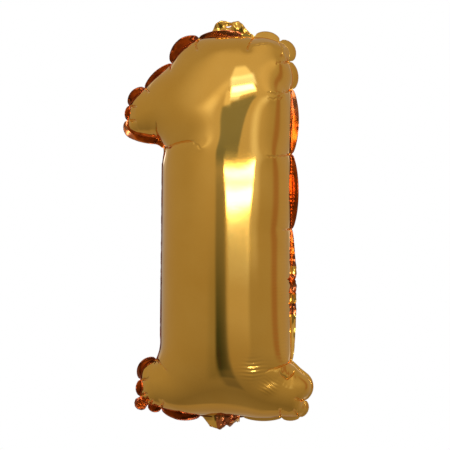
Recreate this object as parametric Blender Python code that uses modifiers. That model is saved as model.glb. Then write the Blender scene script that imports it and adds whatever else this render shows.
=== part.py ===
"""Foil number balloon, the digit 1: two welded foil films, a hang tab, and a filling tail with its flat valve.

Units are metres, +Z up, and the digit faces -Y. The origin is the centre of the hang tab's hole.
Outlines are drawn in millimetres, seen from the front, with X to the right and Z up.
"""

import math

import bpy
import numpy as np
from mathutils import Vector
from mathutils.geometry import delaunay_2d_cdt

MM = 0.001

# ---------------------------------------------------------------- driving dimensions, mm
FILM = 0.4  # drawn thickness of one foil film
BOND = 0.7  # drawn thickness of the fused layer between the two films
PLY = 0.2  # drawn thickness of one clear valve ply
CLEARANCE = 0.3  # gap between layers that touch on the real balloon
HALF_GAP = BOND / 2 + CLEARANCE  # seam plane to the inner face of each film
FILM_AT = HALF_GAP + FILM / 2  # seam plane to the middle of a flat film
PLY_AT = (CLEARANCE + PLY) / 2  # seam plane to the middle of a valve ply

FULLNESS = 0.80  # depth of a long straight limb as a share of its width
EDGE_STEP = 4.5  # between points along the seam
LATTICE = 10.0  # between points inside the films
LATTICE_INSET = 5.0  # kept free between the lattice and the seam
PINCH_BORDER = 2.0  # width of the border where it folds at a pinch
WELD_MARGIN = 0.5  # from the fused layer to the seam and to the cut edge

TAB_FOLD = -5.5  # height of the tab's fold line
TAB_TOP = 7.0
TAB_ROOT_WIDTH = 33.0
TAB_TOP_WIDTH = 23.0
TAB_CORNER = 4.0
TAB_CLEARANCE = 0.55  # from the fold line to the tab's root
HOLE_RADIUS = 3.5
HOLE_SIDES = 32

TAIL_FOLD = -350.5  # height of the tail's fold line
TAIL_CENTRE = -6.0
TAIL_WIDTH = 27.0
TAIL_LENGTH = 32.0
TAIL_CORNER = 4.0
TAIL_WELD = 3.0  # width of the welds along the tail's long sides
TAIL_TILT = 105.0  # degrees that the tail is folded back from hanging straight down
TAIL_CLEARANCE = 1.8  # from the fold line to the films and plies on each side of it
NECK = 10.2  # length of the neck, from the seam to the films' ends

VALVE_WIDTH = 18.0
VALVE_HINGE = -335.0  # height where the plies come free of the neck
VALVE_TOP = -280.0
VALVE_TAPER = 3.0  # how much narrower the inner end is on each side
VALVE_CORNER = 2.0
VALVE_CLEARANCE = 0.5  # from the hinge line to the plies above and below it
VALVE_MOUTH = 6.0  # the plies start this far inside the tail's open end

GOLD = (0.83, 0.52, 0.13, 1.0)
BORDER_GOLD = (0.72, 0.38, 0.08, 1.0)
CLEAR_FILM = (0.85, 0.87, 0.88, 1.0)

# The seam, clockwise from the left of the hang tab. Each stretch runs from one pinch or inner corner to
# the next, and is (width of the border at its middle, arcs). Each arc is (x, z, sagitta) and ends where
# the next one starts.
SEAM = (
    (3.5, ((-26.0, -12.0, 1.8),)),
    (5.5, ((22.5, -13.0, 2.3),)),
    (5.5, ((44.5, -16.5, 4.5),)),
    (5.0, ((51.5, -31.5, 2.6),)),
    (5.5, ((54.0, -55.5, 1.7),)),
    (5.5, ((53.5, -111.5, 1.8),)),
    (4.5, ((53.5, -176.5, 0.5),)),
    (5.5, ((54.0, -290.5, -0.4), (63.5, -301.0, 5.0))),
    (5.0, ((63.5, -324.5, 3.0),)),
    (4.0, ((61.5, -338.5, 0.5),)),
    (4.5, ((46.0, -338.0, 1.0),)),
    (NECK, ((13.0, -338.5, 0.0),)),
    (5.0, ((-25.0, -338.5, 1.6),)),
    (4.0, ((-59.0, -332.5, 1.0),)),
    (6.5, ((-70.5, -330.0, 2.0),)),
    (4.0, ((-75.0, -323.5, 1.0),)),
    (5.5, ((-75.0, -308.0, 5.8),)),
    (4.5, ((-62.0, -289.5, -1.6), (-57.5, -272.0, 0.0), (-55.0, -118.0, -0.4))),
    (6.0, ((-56.5, -106.0, -2.6), (-78.5, -96.0, 4.4))),
    (4.0, ((-85.5, -82.0, 1.0),)),
    (6.5, ((-83.0, -68.0, 2.6),)),
    (5.0, ((-72.0, -53.0, 1.2),)),
    (6.5, ((-49.5, -33.0, 4.4),)),
)
TAIL_STRETCH = 11  # the stretch that the neck leaves


# ---------------------------------------------------------------- outlines
def arc(start, end, sagitta, step):
    """Points about step apart from start up to, and without, end. A positive sagitta bulges to the left."""
    chord = end - start
    length = float(np.linalg.norm(chord))
    ahead = chord / length
    left = np.array([-ahead[1], ahead[0]])
    if abs(sagitta) < 0.01:
        count = max(1, round(length / step))
        return [start + chord * i / count for i in range(count)]
    turn = 4 * math.atan(2 * sagitta / length)
    radius = length / (2 * math.sin(turn / 2))
    count = max(1, round(radius * turn / step))
    middle = (start + end) / 2 - left * radius * math.cos(turn / 2)
    angles = [turn * (i / count - 0.5) for i in range(count)]
    return [middle + radius * (ahead * math.sin(a) + left * math.cos(a)) for a in angles]


def border_width(stretch, widest, along):
    """The border's width, with along running from 0 at one pinch to 1 at the next."""
    if along == 0:
        return PINCH_BORDER
    if stretch == TAIL_STRETCH:
        return widest
    return PINCH_BORDER + (widest - PINCH_BORDER) * math.sin(math.pi * along) ** 0.6


def seam_and_edge():
    """The seam, the cut edge outside it, both point by point, and the stretch of each point."""
    seam, width, stretch = [], [], []
    for i, (widest, arcs) in enumerate(SEAM):
        following = SEAM[(i + 1) % len(SEAM)][1][0]
        run = []
        for (x, z, sagitta), ending in zip(arcs, (*arcs[1:], following)):
            run += arc(np.array([x, z]), np.array(ending[:2]), sagitta, EDGE_STEP)
        seam += run
        width += [border_width(i, widest, k / len(run)) for k in range(len(run))]
        stretch += [i] * len(run)
    seam = np.array(seam)
    ahead = np.roll(seam, -1, axis=0) - np.roll(seam, 1, axis=0)
    outward = np.stack([-ahead[:, 1], ahead[:, 0]], axis=1)
    outward = outward + 0.5 * (np.roll(outward, 1, axis=0) + np.roll(outward, -1, axis=0))
    outward /= np.linalg.norm(outward, axis=1)[:, None]
    return seam, seam + outward * np.array(width)[:, None], np.array(stretch)


def inside(points, outline):
    """Which of the points lie inside the closed outline, by counting the sides to the right of each."""
    x, z = points[:, 0][:, None], points[:, 1][:, None]
    a, b = outline, np.roll(outline, -1, axis=0)
    rise = np.where(a[:, 1] == b[:, 1], 1.0, b[:, 1] - a[:, 1])
    crosses = (a[:, 1] > z) != (b[:, 1] > z)
    at = a[:, 0] + (z - a[:, 1]) * (b[:, 0] - a[:, 0]) / rise
    return (crosses & (x < at)).sum(axis=1) % 2 == 1


def distance(points, outline):
    """How far each point is from the nearest point of the outline."""
    return np.linalg.norm(points[:, None] - outline[None], axis=2).min(axis=1)


def lattice(outline):
    """Points of a triangular lattice inside the outline, clear of it."""
    low, high = outline.min(axis=0), outline.max(axis=0)
    rows = np.arange(low[1], high[1], LATTICE * math.sqrt(3) / 2)
    columns = np.arange(low[0], high[0], LATTICE)
    points = np.array([(x + (i % 2) * LATTICE / 2, z) for i, z in enumerate(rows) for x in columns])
    points = points[inside(points, outline)]
    return points[distance(points, outline) > LATTICE_INSET]


def rounded(corners, radii, steps=5):
    """A convex outline, drawn anticlockwise, whose corners are turned into arcs of the given radii."""
    corners = np.array(corners, float)
    found = []
    for i, radius in enumerate(radii):
        corner = corners[i]
        if radius == 0:
            found.append(corner)
            continue
        back, ahead = corners[i - 1] - corner, corners[(i + 1) % len(corners)] - corner
        back /= np.linalg.norm(back)
        ahead /= np.linalg.norm(ahead)
        half = math.acos(float(back @ ahead)) / 2
        reach, sagitta = radius / math.tan(half), radius * (1 - math.sin(half))
        start, end = corner + back * reach, corner + ahead * reach
        found += [*arc(start, end, -sagitta, radius * (math.pi - 2 * half) / steps), end]
    return found


def box(left, right, bottom, top, corner=0.0):
    """An upright rectangle whose two bottom corners are rounded."""
    return rounded(((left, bottom), (right, bottom), (right, top), (left, top)), (corner, corner, 0, 0))


def circle(radius, sides):
    angles = [2 * math.pi * i / sides for i in range(sides)]
    return [(radius * math.cos(a), radius * math.sin(a)) for a in angles]


# ---------------------------------------------------------------- the inflated films
def inflated_sheet(seam, edge):
    """A triangle mesh of one film seen from the front, and how far each point stands out of the seam plane."""
    count = len(seam)
    ring = [(i, (i + 1) % count) for i in range(count)]
    sides = ring + [(a + count, b + count) for a, b in ring]
    made = delaunay_2d_cdt([Vector(p) for p in (*seam, *edge, *lattice(seam))], sides, [], 0, 1e-5)
    flat = np.array([tuple(v) for v in made[0]])
    faces = np.array(made[2])
    faces = faces[inside(flat[faces].mean(axis=1), edge)]
    return flat, faces, heights(flat, faces, seam)


def heights(flat, faces, seam):
    """Height over the seam plane: the square root of a loaded membrane's sag, which rounds each limb."""
    count = len(flat)
    stiffness, load = np.zeros((count, count)), np.zeros(count)
    for face in faces:
        p = flat[face]
        opposite = p[[2, 0, 1]] - p[[1, 2, 0]]
        area = abs(opposite[0][0] * opposite[1][1] - opposite[0][1] * opposite[1][0]) / 2
        if area < 1e-9:
            continue
        stiffness[np.ix_(face, face)] += opposite @ opposite.T / (4 * area)
        load[face] += area / 3
    free = inside(flat, seam) & (distance(flat, seam) > LATTICE_INSET / 2)
    sag = np.zeros(count)
    sag[free] = np.linalg.solve(stiffness[np.ix_(free, free)], load[free])
    return FULLNESS * np.sqrt(2 * np.maximum(sag, 0.0))


def foil_film(name, sheet, side):
    """One foil film with its half of the border. side is -1 for the front and +1 for the back."""
    flat, faces, height = sheet
    verts = [(x * MM, side * (HALF_GAP + h) * MM, z * MM) for (x, z), h in zip(flat, height)]
    mesh = bpy.data.meshes.new(name)
    mesh.from_pydata(verts, [], (faces if side < 0 else faces[:, ::-1]).tolist())
    mesh.shade_smooth()
    obj = linked(name, mesh)
    shell = obj.modifiers.new("film", "SOLIDIFY")
    shell.thickness = FILM * MM
    shell.offset = 1.0
    return obj


# ---------------------------------------------------------------- flat pieces
def linked(name, data):
    obj = bpy.data.objects.new(name, data)
    bpy.data.collections["foil_number_balloon"].objects.link(obj)
    return obj


def flat_piece(name, outlines, thickness, at=(0.0, 0.0, 0.0), parent=None):
    """A flat piece standing in the XZ plane through at. The first outline is the outside, the others are holes."""
    curve = bpy.data.curves.new(name, "CURVE")
    curve.dimensions = "2D"
    curve.fill_mode = "BOTH"
    curve.extrude = thickness * MM / 2
    for outline in outlines:
        spline = curve.splines.new("POLY")
        spline.points.add(len(outline) - 1)
        for point, (x, z) in zip(spline.points, outline):
            point.co = (x * MM, z * MM, 0.0, 1.0)
        spline.use_cyclic_u = True
    obj = linked(name, curve)
    obj.parent = parent
    obj.rotation_euler = (math.pi / 2, 0.0, 0.0)
    obj.location = Vector(at) * MM
    return obj


def border_weld(seam, edge, stretch):
    """The fused layer that joins the two films all round, open at the neck, where the plies pass."""
    outward = edge - seam
    outward /= np.linalg.norm(outward, axis=1)[:, None]
    inner, outer = seam + WELD_MARGIN * outward, edge - WELD_MARGIN * outward
    neck = np.flatnonzero(stretch == TAIL_STRETCH)
    order = np.arange(neck[-1], neck[1] + len(seam) + 1) % len(seam)
    return flat_piece("border_weld", ([*outer[order], *inner[order[::-1]]],), BOND)


def hang_tab():
    """The tab above the border, both films thick, with its punched hole. It turns about its fold line."""
    root, top = TAB_CLEARANCE, TAB_TOP - TAB_FOLD
    wide, narrow = TAB_ROOT_WIDTH / 2, TAB_TOP_WIDTH / 2
    corners = ((-wide, root), (wide, root), (narrow, top), (-narrow, top))
    outside = rounded(corners, (0, 0, TAB_CORNER, TAB_CORNER))
    hole = [(x, z - TAB_FOLD) for x, z in circle(HOLE_RADIUS, HOLE_SIDES)]
    return flat_piece("hang_tab", (outside, hole), 2 * FILM, (0.0, 0.0, TAB_FOLD))


def tail():
    """The tail's two films and the welds along its sides. They hang from an empty on the fold line."""
    fold = bpy.data.objects.new("tail_fold", None)
    bpy.data.collections["foil_number_balloon"].objects.link(fold)
    fold.location = Vector((TAIL_CENTRE, 0.0, TAIL_FOLD)) * MM
    fold.rotation_euler = (math.radians(TAIL_TILT), 0.0, 0.0)
    half = TAIL_WIDTH / 2
    sheet = box(-half, half, -TAIL_LENGTH, -TAIL_CLEARANCE, TAIL_CORNER)
    films = [
        flat_piece(f"tail_{name}_film", (sheet,), FILM, (0.0, side * FILM_AT, 0.0), fold)
        for name, side in (("front", -1), ("back", 1))
    ]
    welds = []
    for name, left in (("left", -half + WELD_MARGIN), ("right", half - WELD_MARGIN - TAIL_WELD)):
        band = box(left, left + TAIL_WELD, TAIL_CORNER - TAIL_LENGTH, -TAIL_CLEARANCE)
        welds.append(flat_piece(f"tail_{name}_weld", (band,), BOND, parent=fold))
    return fold, films, welds


def valve(fold):
    """The valve's two clear plies, each in three lengths: inside the balloon, in the neck, in the tail."""
    wide, narrow = VALVE_WIDTH / 2, VALVE_WIDTH / 2 - VALVE_TAPER
    top = VALVE_TOP - VALVE_HINGE
    loose = rounded(
        ((-wide, VALVE_CLEARANCE), (wide, VALVE_CLEARANCE), (narrow, top), (-narrow, top)),
        (0, 0, VALVE_CORNER, VALVE_CORNER),
    )
    neck = box(-wide, wide, TAIL_FOLD - VALVE_HINGE + TAIL_CLEARANCE, -VALVE_CLEARANCE)
    outer = box(-wide, wide, VALVE_MOUTH - TAIL_LENGTH, -TAIL_CLEARANCE, VALVE_CORNER)
    plies = []
    for name, side in (("front", -1), ("back", 1)):
        at = (TAIL_CENTRE, side * PLY_AT, VALVE_HINGE)
        plies.append(flat_piece(f"valve_{name}_ply", (loose,), PLY, at))
        plies.append(flat_piece(f"neck_{name}_ply", (neck,), PLY, at))
        plies.append(flat_piece(f"tail_{name}_ply", (outer,), PLY, (0.0, side * PLY_AT, 0.0), fold))
    return plies


# ---------------------------------------------------------------- materials
def material(name, colour, metallic, roughness):
    made = bpy.data.materials.new(name)
    made.use_nodes = True
    shader = made.node_tree.nodes["Principled BSDF"]
    shader.inputs["Base Color"].default_value = colour
    shader.inputs["Metallic"].default_value = metallic
    shader.inputs["Roughness"].default_value = roughness
    return made


def paint(objects, made):
    for obj in objects:
        obj.data.materials.append(made)


def main():
    for obj in list(bpy.data.objects):
        bpy.data.objects.remove(obj)
    collection = bpy.data.collections.new("foil_number_balloon")
    bpy.context.scene.collection.children.link(collection)

    seam, edge, stretch = seam_and_edge()
    sheet = inflated_sheet(seam, edge)
    films = [foil_film("front_film", sheet, -1), foil_film("back_film", sheet, 1)]
    fold, tail_films, tail_welds = tail()
    welded = [border_weld(seam, edge, stretch), hang_tab(), *tail_welds]

    paint([*films, *tail_films], material("gold_foil", GOLD, 1.0, 0.12))
    paint(welded, material("welded_foil", BORDER_GOLD, 1.0, 0.25))
    paint(valve(fold), material("clear_valve_film", CLEAR_FILM, 0.0, 0.3))


main()
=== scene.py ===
"""The looks of the foil number balloon: two foil films with their puckered border, a crumpled tab and tail,
the clear valve inside, and a plain studio round them. Shapes are worked out in millimetres on the frame's
own axes."""

import math

import bpy
import numpy as np
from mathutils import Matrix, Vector
from mathutils.geometry import delaunay_2d_cdt


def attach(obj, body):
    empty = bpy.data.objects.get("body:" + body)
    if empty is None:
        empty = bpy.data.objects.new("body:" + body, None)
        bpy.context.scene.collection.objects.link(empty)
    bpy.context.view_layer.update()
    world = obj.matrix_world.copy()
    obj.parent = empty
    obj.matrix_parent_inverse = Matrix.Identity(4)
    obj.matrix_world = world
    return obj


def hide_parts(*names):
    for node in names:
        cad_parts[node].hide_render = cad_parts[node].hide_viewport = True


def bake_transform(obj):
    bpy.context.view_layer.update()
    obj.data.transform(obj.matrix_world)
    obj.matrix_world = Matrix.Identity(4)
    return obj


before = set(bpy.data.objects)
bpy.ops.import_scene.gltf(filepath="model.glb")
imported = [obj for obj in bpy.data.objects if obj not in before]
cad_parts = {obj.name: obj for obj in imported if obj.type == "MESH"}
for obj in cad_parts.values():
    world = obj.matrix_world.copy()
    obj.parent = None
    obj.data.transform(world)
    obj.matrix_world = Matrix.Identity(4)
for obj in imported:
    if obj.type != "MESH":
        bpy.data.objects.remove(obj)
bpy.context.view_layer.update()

MM = 0.001

# ---------------------------------------------------------------- the outline, mm
# The seam, clockwise from the left of the hang tab. It keeps within a few millimetres of the part's. Each
# stretch runs from one pinch or inner corner to the next: (widest border, its lean in degrees at both ends,
# crinkle, arcs). A negative lean is towards the front. Each arc is (x, z, sagitta).
SEAM = (
    (5.2, (-38, 10), 0.12, ((-26.0, -10.5, 1.8),)),
    (6.0, (34, 40), 0.02, ((22.5, -10.0, 1.6),)),
    (5.6, (40, 42), 0.02, ((44.0, -14.5, 4.5),)),
    (4.4, (42, 44), 0.02, ((52.0, -31.5, 2.6),)),
    (5.2, (6, -40), 0.03, ((54.6, -55.5, 1.5),)),
    (5.2, (-42, -38), 0.03, ((54.2, -111.5, 1.6),)),
    (3.9, (-36, 16), 0.2, ((54.2, -176.5, 0.5),)),
    (1.8, (42, 46), 0.02, ((54.5, -290.5, -0.6), (66.5, -302.5, 6.0))),
    (2.6, (44, 46), 0.02, ((65.0, -324.5, 3.6),)),
    (3.6, (44, 40), 0.02, ((61.5, -338.5, 0.5),)),
    (2.8, (40, 36), 0.02, ((46.0, -339.2, 1.4),)),
    (1.6, (0, 0), 0.3, ((13.0, -339.2, 0.0),)),
    (5.2, (-34, -46), 0.15, ((-25.0, -338.8, 1.6),)),
    (4.0, (-46, -40), 0.2, ((-59.0, -333.0, 1.0),)),
    (6.4, (-46, -44), 0.12, ((-71.0, -329.5, 2.4),)),
    (3.4, (-50, -50), 0.12, ((-77.3, -323.0, 0.8),)),
    (4.2, (-36, -42), 0.2, ((-77.0, -308.0, 5.4),)),
    (1.6, (64, 64), 0.5, ((-63.5, -290.5, -1.8), (-59.4, -270.0, 0.0), (-57.8, -120.0, -0.5))),
    (5.4, (-34, -24), 0.2, ((-56.5, -106.0, -2.2), (-66.0, -97.5, 0.4), (-83.6, -93.0, 3.0))),
    (2.4, (-54, -50), 0.15, ((-88.8, -81.5, 0.8),)),
    (4.7, (-34, -38), 0.15, ((-87.2, -68.5, 2.0),)),
    (3.6, (-46, -48), 0.15, ((-73.5, -53.5, 1.2),)),
    (6.6, (-42, -36), 0.15, ((-49.5, -32.5, 4.2),)),
)
LIGHT_LOBES = (1, 2, 3, 7, 8, 9, 10)  # stretches whose border leans back and looks like the film beside it, so it keeps the film's gold without the painted shade
DEEP_SHADE_LOBES = (5, 12, 13, 14, 15, 16, 17, 19, 20, 21, 22)  # and these get a darker painted shade than the rest
LIGHT_FROM = 11.0  # the first stretch does so too, to the right of this
RIGHT_STRETCH = 6  # the long one on the stem's right, which is
CRINKLED = (-249.0, -206.0)  # badly crinkled between these heights, and gold below them, without the painted shade

# Folds that run into the films from the pinches: (depth at the seam, the share of the way over which the
# film is pulled in and not only marked, points on the way in). A depth of 0 is a mark alone.
CREASES = (
    (1.1, 0.4, ((54.6, -55.8), (49.3, -59.6), (43.0, -62.4), (33.5, -62.8))),
    (0.0, 0.0, ((48.5, -64.0), (41.0, -67.0), (33.0, -67.8))),
    (1.5, 0.5, ((54.0, -111.6), (50.2, -113.6), (44.8, -114.8), (34.0, -115.8))),
    (1.8, 0.9, ((54.6, -291.0), (49.3, -293.0), (42.1, -295.6), (33.6, -297.6))),
    (0.9, 0.9, ((57.2, -300.2), (51.8, -305.3), (47.1, -300.0), (44.3, -296.9))),
    (1.6, 0.9, ((-62.8, -291.0), (-57.4, -292.6), (-51.2, -298.5))),
    (1.7, 0.9, ((-26.0, -11.0), (-27.6, -17.4), (-24.7, -23.8))),
    (1.5, 0.9, ((-49.6, -33.0), (-48.6, -40.6))),
    (1.8, 0.9, ((22.4, -10.6), (19.4, -18.3), (17.4, -25.7))),
    (0.0, 0.0, ((20.5, -20.1), (28.4, -19.6), (39.3, -18.4))),
    (2.2, 0.9, ((-60.5, -103.0), (-61.4, -96.8), (-60.5, -83.7))),
    (3.4, 0.75, ((-57.0, -107.5), (-42.9, -104.0), (-33.1, -101.8), (-25.4, -103.0), (-18.5, -110.0))),
    (1.3, 0.9, ((-73.2, -54.0), (-66.7, -59.3))),
    (1.3, 0.9, ((-84.8, -68.6), (-78.3, -71.0))),
    (1.3, 0.9, ((-86.0, -81.6), (-78.5, -82.3))),
    (1.1, 0.4, ((43.8, -15.0), (46.1, -21.4), (46.7, -28.8))),
    (0.9, 0.5, ((51.6, -31.8), (47.1, -34.0), (41.3, -36.8))),
    (1.0, 0.9, ((54.0, -176.5), (48.3, -177.3))),
    (1.3, 0.9, ((64.6, -324.4), (57.5, -321.0))),
    (1.2, 0.9, ((61.0, -338.0), (56.5, -330.5))),
    (1.2, 0.9, ((46.0, -338.6), (45.5, -329.5))),
    (1.3, 0.9, ((-58.8, -332.4), (-54.5, -323.5))),
    (1.2, 0.9, ((-70.6, -329.0), (-64.5, -323.5))),
    (1.2, 0.9, ((-76.6, -322.8), (-69.0, -318.5))),
    (1.3, 0.9, ((-76.4, -308.0), (-67.0, -305.5))),
)

# ---------------------------------------------------------------- the films, mm
STEM_CENTRE = -1.5
MID_HEIGHT = -174.0
FLAT_X = 1.38  # the films' flat width over their filled width
FLAT_Z = 1.14
FULLNESS = 0.80  # depth of a long straight limb as a share of its width
MESH = 3.0  # between the films' points before they are filled
CREASE_CLEAR = 0.62  # share of that which is kept free beside the creases,
SEAM_CLEAR = 0.7  # and beside the seam
SEAM_STEP = 1.6
EXCESS = 0.05  # film gathered along the seam, as a share of its length
EXCESS_REACH = 16.0
GROOVE = 1.2  # depth of the sharp line along each crease
FAINT_MARK = 0.3  # depth of a mark alone, as a share of that
EASING_OUT = 0.7  # the film is pulled in less and less along a crease: 1 is straight
PATH_STEP = 1.0  # between points of a crease on the filled film
CREASE_STEP = 1.6  # and in the flat pattern
FLANKS = (-2.3, -1.1, 1.1, 2.3)  # rows of points beside each crease
SEAM_GAP = 0.8  # no point of a crease is nearer to the seam
CREASE_GAP = 1.0  # or to another crease
FLANK_GAP = 0.9
PULLED = 0.1  # a film pulled in more than this is held there
RELAX_STEPS = 260
PRESSURE = 0.004  # how far it pushes the film at each step
STIFFNESS = 0.12
DAMPING = 0.96  # of its motion from one step to the next
EDGE_PASSES = 4  # over all edges, at each step
SLACK = 0.08  # how much an edge that is too short pushes, against one that is too long
HASTE = 1.6  # how far each point is moved in a pass, against the mean of what its edges ask for
SMOOTHING = (0.5, -0.52)  # towards the mean and away from it again, so that nothing shrinks
CALM_FROM = 3.0  # the mesh's own unevenness is smoothed from here, away from seam and creases,
CALM_OVER = (9.0, 7.0)  # and fully this much further from the seam and from a crease
CALM_PASSES = 40
LEAST_CALM = 0.4  # of every point off the seam, when the mesh is refined
REFINED_PASSES = (14, 6)  # after each refining of the mesh
MEMBRANE_ROUNDS = 1500  # at most
NEIGHBOURS = 6  # points that a crease's point is placed between when it is taken back to the flat pattern
RIPPLE = 3.3
RIPPLE_HEIGHT = 0.035
RIPPLED_SIDE = (36.0, 8.0)  # the stem ripples to the right of this x, fading in over this width,
RIPPLED_FOOT = (-300.0, 8.0)  # up from here
RIPPLED_TOP = (-115.0, 20.0)  # and down from here
LEAST_RIPPLES = 0.25  # share of them that is left between their patches
ABOVE_ARM = (25.0, 8.0, -294.0, 7.0)  # ripples above the foot's right arm: x, its spread, z, its spread
ABOVE_RIPPLES, ABOVE_SLANT = 7.0, 0.12  # how much deeper they are than the stem's, and the facet's slant
ON_ARM = (37.5, 6.0, -309.5, 5.0)
ON_RIPPLES, ON_SLANT = 10.0, 0.3
FILM = 0.12
WELD = 0.24
PINCH_BORDER = 0.7
BORDER_ROWS = (-0.12, 1.0, 8)  # from a little inside the seam to the edge, and how many
BORDER_CRINKLES = 7.0  # their size,
CRINKLE_LEAN = 0.9  # how far they lean the border, in radians,
CRINKLE_EDGE = 0.5  # and how far they move its points outward
LIGHT_SPOTS = (1.9, 4.3, 0.4)  # where it is crinkled, it is gold where two waves' sum is above the last: painted glints amid the painted shade
ROUGH_BLEND = 3  # points of the seam on each side that a crinkle's strength is averaged over
BADLY = 1.6  # how crinkled the right stretch is at its worst,
HARDLY = 0.25  # and everywhere else
MAX_LEAN = (-1.1, 1.25)  # radians
CRUMPLE_WAVES = 7  # in each octave


def arc(start, end, sagitta, step):
    """Points about step apart from start up to, and without, end. A positive sagitta bulges to the left."""
    chord = end - start
    length = float(np.linalg.norm(chord))
    ahead = chord / length
    left = np.array([-ahead[1], ahead[0]])
    if abs(sagitta) < 0.01:
        count = max(1, round(length / step))
        return [start + chord * i / count for i in range(count)]
    turn = 4 * math.atan(2 * sagitta / length)
    radius = length / (2 * math.sin(turn / 2))
    count = max(1, round(radius * turn / step))
    middle = (start + end) / 2 - left * radius * math.cos(turn / 2)
    angles = [turn * (i / count - 0.5) for i in range(count)]
    return [middle + radius * (ahead * math.sin(a) + left * math.cos(a)) for a in angles]


def seam_points():
    """The seam point by point, with the stretch of each and how far along it the point is, from 0 to 1."""
    seam, stretch, along = [], [], []
    for i, (_, _, _, arcs) in enumerate(SEAM):
        following = SEAM[(i + 1) % len(SEAM)][3][0]
        run = []
        for (x, z, sagitta), ending in zip(arcs, (*arcs[1:], following)):
            run += arc(np.array([x, z]), np.array(ending[:2]), sagitta, SEAM_STEP)
        seam += run
        stretch += [i] * len(run)
        along += [k / len(run) for k in range(len(run))]
    return np.array(seam), np.array(stretch), np.array(along)


def inside(points, outline):
    x, z = points[:, 0][:, None], points[:, 1][:, None]
    a, b = outline, np.roll(outline, -1, axis=0)
    rise = np.where(a[:, 1] == b[:, 1], 1.0, b[:, 1] - a[:, 1])
    crosses = (a[:, 1] > z) != (b[:, 1] > z)
    at = a[:, 0] + (z - a[:, 1]) * (b[:, 0] - a[:, 0]) / rise
    return (crosses & (x < at)).sum(axis=1) % 2 == 1


def distance(points, others):
    found = np.empty(len(points))
    for k in range(0, len(points), 2000):
        found[k : k + 2000] = np.linalg.norm(points[k : k + 2000, None] - others[None], axis=2).min(axis=1)
    return found


def to_flat(points):
    return (points - (STEM_CENTRE, MID_HEIGHT)) * (FLAT_X, FLAT_Z)


def from_flat(points):
    return points / (FLAT_X, FLAT_Z) + (STEM_CENTRE, MID_HEIGHT)


def resampled(points, step):
    points = np.array(points)
    sizes = np.linalg.norm(np.diff(points, axis=0), axis=1)
    at = np.concatenate([[0], np.cumsum(sizes)])
    count = max(2, round(at[-1] / step) + 1)
    wanted = np.linspace(0, at[-1], count)
    return np.stack([np.interp(wanted, at, points[:, k]) for k in range(2)], axis=1), wanted / at[-1]


def triangulated(points, outline):
    """Triangles between the points inside the outline, whose own points come first."""
    count = len(outline)
    ring = [(i, (i + 1) % count) for i in range(count)]
    made = delaunay_2d_cdt([Vector(p) for p in points], ring, [], 0, 1e-6)
    flat, faces = np.array([tuple(v) for v in made[0]]), np.array(made[2])
    faces = faces[inside(flat[faces].mean(axis=1), outline)]
    p = flat[faces]
    double = np.cross(p[:, 1] - p[:, 0], p[:, 2] - p[:, 0])
    faces, double = faces[np.abs(double) > 1e-6], double[np.abs(double) > 1e-6]
    faces[double < 0] = faces[double < 0][:, ::-1]
    return flat, faces


def lattice(outline, spacing):
    low, high = outline.min(axis=0), outline.max(axis=0)
    rows = np.arange(low[1], high[1], spacing * math.sqrt(3) / 2)
    columns = np.arange(low[0], high[0], spacing)
    points = np.array([(x + (i % 2) * spacing / 2, z) for i, z in enumerate(rows) for x in columns])
    points = points[inside(points, outline)]
    return points[distance(points, outline) > SEAM_CLEAR * spacing]


def unfilled(seam, paths):
    """Where points of the filled film lie in the flat pattern, read from a coarse fill."""
    outline = to_flat(seam)
    flat, faces = triangulated(np.concatenate([outline, lattice(outline, 2 * MESH)]), outline)
    shape, _, _ = filled_dome(flat, faces, len(outline))
    plane = shape[:, [0, 2]]
    found = []
    for path in paths:
        gap = np.linalg.norm(path[:, None] - plane[None], axis=2)
        near = np.argsort(gap, axis=1)[:, :NEIGHBOURS]
        weight = 1 / (np.take_along_axis(gap, near, axis=1) ** 2 + 0.3)
        found.append((flat[near] * weight[:, :, None]).sum(axis=1) / weight.sum(axis=1)[:, None])
    return found


def film_mesh(seam):
    """The flat pattern's triangles: the seam, the creases with rows on each side, and a lattice. Also the
    number of points on the seam, and at each point how far it is pulled in and how sharply marked."""
    outline = to_flat(seam)
    creases, flanks, depth, marks = [], [], [], []
    paths = unfilled(seam, [resampled(np.array(path), PATH_STEP)[0] for _, _, path in CREASES])
    for (deep, reach, _), path in zip(CREASES, paths):
        line, along = resampled(path, CREASE_STEP)
        line[1:-1] = (line[:-2] + 2 * line[1:-1] + line[2:]) / 4
        ahead = np.gradient(line, axis=0)
        ahead /= np.linalg.norm(ahead, axis=1)[:, None]
        left = np.stack([-ahead[:, 1], ahead[:, 0]], axis=1)
        keep = inside(line, outline) & (distance(line, outline) > SEAM_GAP)
        if creases:
            keep &= distance(line, np.concatenate(creases)) > CREASE_GAP
        creases.append(line[keep])
        depth.append(deep * np.clip(1 - along[keep] / (reach + 0.01), 0, 1) ** EASING_OUT)
        fading = np.sqrt(np.sin(math.pi * (0.5 + 0.5 * along[keep])))
        marks.append(fading if deep else FAINT_MARK * np.sin(math.pi * along[keep]))
        for offset in FLANKS:
            flanks.append((line + offset * left)[keep])
    creases, depth, marks = np.concatenate(creases), np.concatenate(depth), np.concatenate(marks)
    flanks = np.concatenate(flanks)
    free = (distance(flanks, outline) > FLANK_GAP) & (distance(flanks, creases) > FLANK_GAP)
    flanks = flanks[inside(flanks, outline) & free]
    grid = lattice(outline, MESH)
    grid = grid[distance(grid, np.concatenate([creases, flanks])) > CREASE_CLEAR * MESH]
    flat, faces = triangulated(np.concatenate([outline, creases, flanks, grid]), outline)
    pull, mark = np.zeros(len(flat)), np.zeros(len(flat))
    pull[len(outline) : len(outline) + len(creases)] = depth
    mark[len(outline) : len(outline) + len(creases)] = marks
    return flat, faces, len(outline), pull, mark


def summed(index, values, count):
    return np.stack([np.bincount(index, values[:, k], count) for k in range(values.shape[1])], axis=1)


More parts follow.
